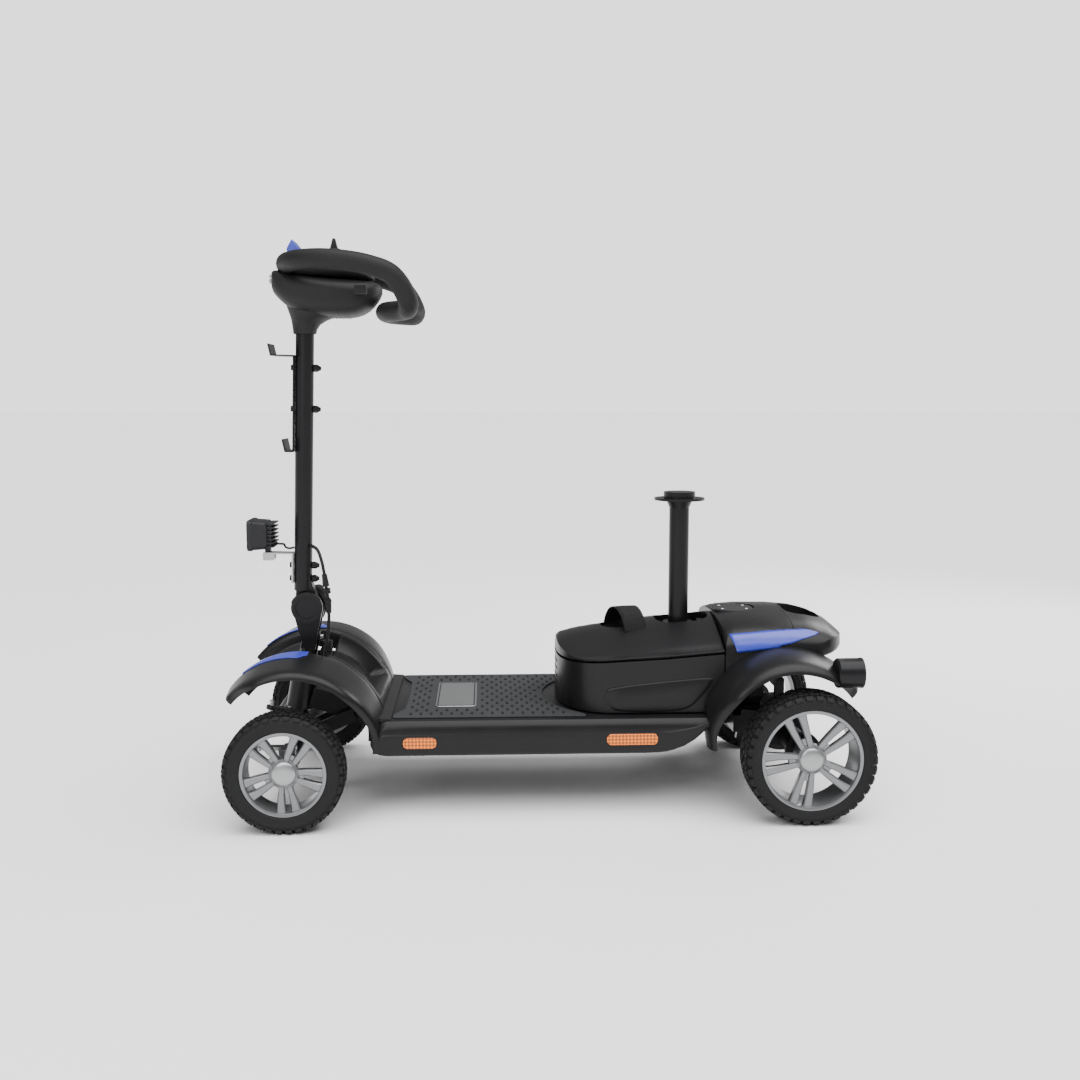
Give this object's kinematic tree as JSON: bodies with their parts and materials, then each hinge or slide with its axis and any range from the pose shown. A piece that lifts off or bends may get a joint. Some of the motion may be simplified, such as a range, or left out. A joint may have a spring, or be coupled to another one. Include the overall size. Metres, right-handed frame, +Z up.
{
  "type": "mobility scooter",
  "caption": "Four-wheeled folding travel mobility scooter, seat removed: tiller with delta grip, steered front wheels, lift-off battery pack and driven rear axle.",
  "frame": {"origin": "on the ground, under the centre of the bounding box", "axes": "+X to the rear, -X is the direction of travel, +Y to the rider's right, +Z up"},
  "size_m": [1.0825, 0.53, 0.9833],
  "materials": {
    "black_steel": "satin powder coat",
    "zinc_steel": "zinc plated",
    "cast_black": "fine cast texture, painted",
    "abs_black": "satin moulded ABS",
    "panel_grey": "matte moulded ABS",
    "mat_rubber": "moulded rubber",
    "silver_trim": "satin silver",
    "blue_trim": "gloss painted",
    "reflector_amber": "prismatic",
    "lamp_red": "moulded lens",
    "lamp_clear": "moulded lens",
    "chrome_steel": "polished",
    "tyre_black": "moulded tread",
    "wheel_silver": "painted silver",
    "grip_foam": "fine closed-cell foam",
    "cable_black": "PVC jacket",
    "cell_wrap": "shrink wrap",
    "webbing": "woven webbing",
    "button_red": "moulded"
  },
  "bodies": {
    "chassis": {"main_frame": "black_steel", "front_axle_beam": "black_steel", "deck_shell": "abs_black", "floor_mat": "mat_rubber", "floor_badge": "silver_trim", "front_shroud": "abs_black", "shroud_panel": "panel_grey", "front_trims": "blue_trim", "side_reflectors": "reflector_amber", "rear_cover": "abs_black", "rear_top_panel": "panel_grey", "rear_trims": "blue_trim", "rear_handle": "abs_black", "rear_fenders": "abs_black", "tail_lamps": "abs_black", "tail_lenses": "lamp_red", "transaxle": "cast_black", "drive_motor": "cast_black", "motor_controller": "silver_trim", "seat_socket": "black_steel", "cable_boot": "cable_black"},
    "stem": {"steering_stem": "black_steel", "stem_bolts": "zinc_steel"},
    "column": {"column_tube": "black_steel", "fold_bolt": "black_steel", "basket_bracket": "black_steel", "lamp_bracket": "chrome_steel", "column_bolts": "black_steel", "tiller_cable": "cable_black", "cable_connectors": "cable_black", "lamp_lead": "cable_black", "console_lower": "panel_grey", "console_upper": "abs_black", "console_hood": "blue_trim", "front_lens": "lamp_clear", "grip_loop": "grip_foam"},
    "fold_knob": {"fold_knob": "panel_grey"},
    "headlight": {"headlight_body": "cast_black", "headlight_lens": "lamp_clear"},
    "throttle": {"throttle_paddle": "panel_grey"},
    "speed_dial": {"speed_dial": "panel_grey"},
    "horn_button": {"horn_button": "button_red"},
    "left_knuckle": {"left_knuckle": "zinc_steel"},
    "right_knuckle": {"right_knuckle": "zinc_steel"},
    "tie_rod": {"tie_rod": "zinc_steel"},
    "front_left": {"front_left_tyre": "tyre_black", "front_left_wheel": "wheel_silver"},
    "front_right": {"front_right_tyre": "tyre_black", "front_right_wheel": "wheel_silver"},
    "rear_left": {"rear_left_tyre": "tyre_black", "rear_left_wheel": "wheel_silver"},
    "rear_right": {"rear_right_tyre": "tyre_black", "rear_right_wheel": "wheel_silver"},
    "battery": {"battery_case": "abs_black", "battery_lid": "abs_black", "battery_cells": "cell_wrap", "battery_strap": "webbing"},
    "seat_post": {"seat_post": "black_steel"},
    "seat_latch": {"seat_latch": "panel_grey"},
    "freewheel_lever": {"freewheel_lever": "panel_grey"}
  },
  "joints": [
    {"name": "steering", "type": "hinge", "parent": "chassis", "child": "stem", "pos_m": [-0.4755, 0, 0], "axis": [0.1736, 0, 0.9848], "range_deg": [-32, 32]},
    {"name": "tiller_fold", "type": "hinge", "parent": "stem", "child": "column", "pos_m": [-0.4295, 0, 0.334], "axis": [0, 1, 0], "range_deg": [0, 55]},
    {"name": "clamp_knob_turn", "type": "hinge", "parent": "column", "child": "fold_knob", "pos_m": [-0.4295, 0, 0.334], "axis": [0, 1, 0], "range_deg": [-180, 180]},
    {"name": "headlight_tilt", "type": "hinge", "parent": "column", "child": "headlight", "pos_m": [-0.4995, 0, 0.428], "axis": [0, 1, 0], "range_deg": [-8, 20]},
    {"name": "throttle_turn", "type": "hinge", "parent": "column", "child": "throttle", "pos_m": [-0.3215, 0, 0.889], "axis": [0, 0, 1], "range_deg": [-12, 12], "stiffness_Nm_per_rad": 0.5},
    {"name": "speed_dial_turn", "type": "hinge", "parent": "column", "child": "speed_dial", "pos_m": [-0.37179, 0, 0.9574], "axis": [0, 0, 1], "range_deg": [-135, 135]},
    {"name": "horn_press", "type": "slide", "parent": "column", "child": "horn_button", "axis": [0, 0, -1], "range_m": [0, 0.003], "stiffness_N_per_m": 300},
    {"name": "left_kingpin", "type": "hinge", "parent": "chassis", "child": "left_knuckle", "pos_m": [-0.4395, -0.19, 0.1], "axis": [0, 0, 1], "range_deg": [-32, 32]},
    {"name": "right_kingpin", "type": "hinge", "parent": "chassis", "child": "right_knuckle", "pos_m": [-0.4395, 0.19, 0.1], "axis": [0, 0, 1], "range_deg": [-32, 32]},
    {"name": "tie_rod_pivot", "type": "hinge", "parent": "left_knuckle", "child": "tie_rod", "pos_m": [-0.4895, -0.19, 0.135], "axis": [0, 0, 1], "range_deg": [-32, 32]},
    {"name": "front_left_spin", "type": "hinge", "parent": "left_knuckle", "child": "front_left", "pos_m": [-0.4395, -0.239, 0.1], "axis": [0, 1, 0], "continuous": true},
    {"name": "front_right_spin", "type": "hinge", "parent": "right_knuckle", "child": "front_right", "pos_m": [-0.4395, 0.239, 0.1], "axis": [0, 1, 0], "continuous": true},
    {"name": "rear_left_spin", "type": "hinge", "parent": "chassis", "child": "rear_left", "pos_m": [0.4285, -0.226, 0.111], "axis": [0, 1, 0], "continuous": true},
    {"name": "rear_right_spin", "type": "hinge", "parent": "chassis", "child": "rear_right", "pos_m": [0.4285, 0.226, 0.111], "axis": [0, 1, 0], "continuous": true},
    {"name": "battery_lift", "type": "slide", "parent": "chassis", "child": "battery", "axis": [0, 0, 1], "range_m": [0, 0.15]},
    {"name": "seat_height", "type": "slide", "parent": "chassis", "child": "seat_post", "axis": [0, 0, 1], "range_m": [0, 0.08]},
    {"name": "seat_latch_lift", "type": "hinge", "parent": "chassis", "child": "seat_latch", "pos_m": [0.2815, 0, 0.291], "axis": [0, 1, 0], "range_deg": [-25, 0], "stiffness_Nm_per_rad": 0.6},
    {"name": "freewheel_turn", "type": "hinge", "parent": "chassis", "child": "freewheel_lever", "pos_m": [0.4645, -0.06, 0.131], "axis": [0, 1, 0], "range_deg": [0, 50]}
  ],
  "couplings": [
    {"joint": "left_kingpin", "follows": "steering", "ratio": 1},
    {"joint": "right_kingpin", "follows": "steering", "ratio": 1},
    {"joint": "tie_rod_pivot", "follows": "steering", "ratio": -1}
  ]
}
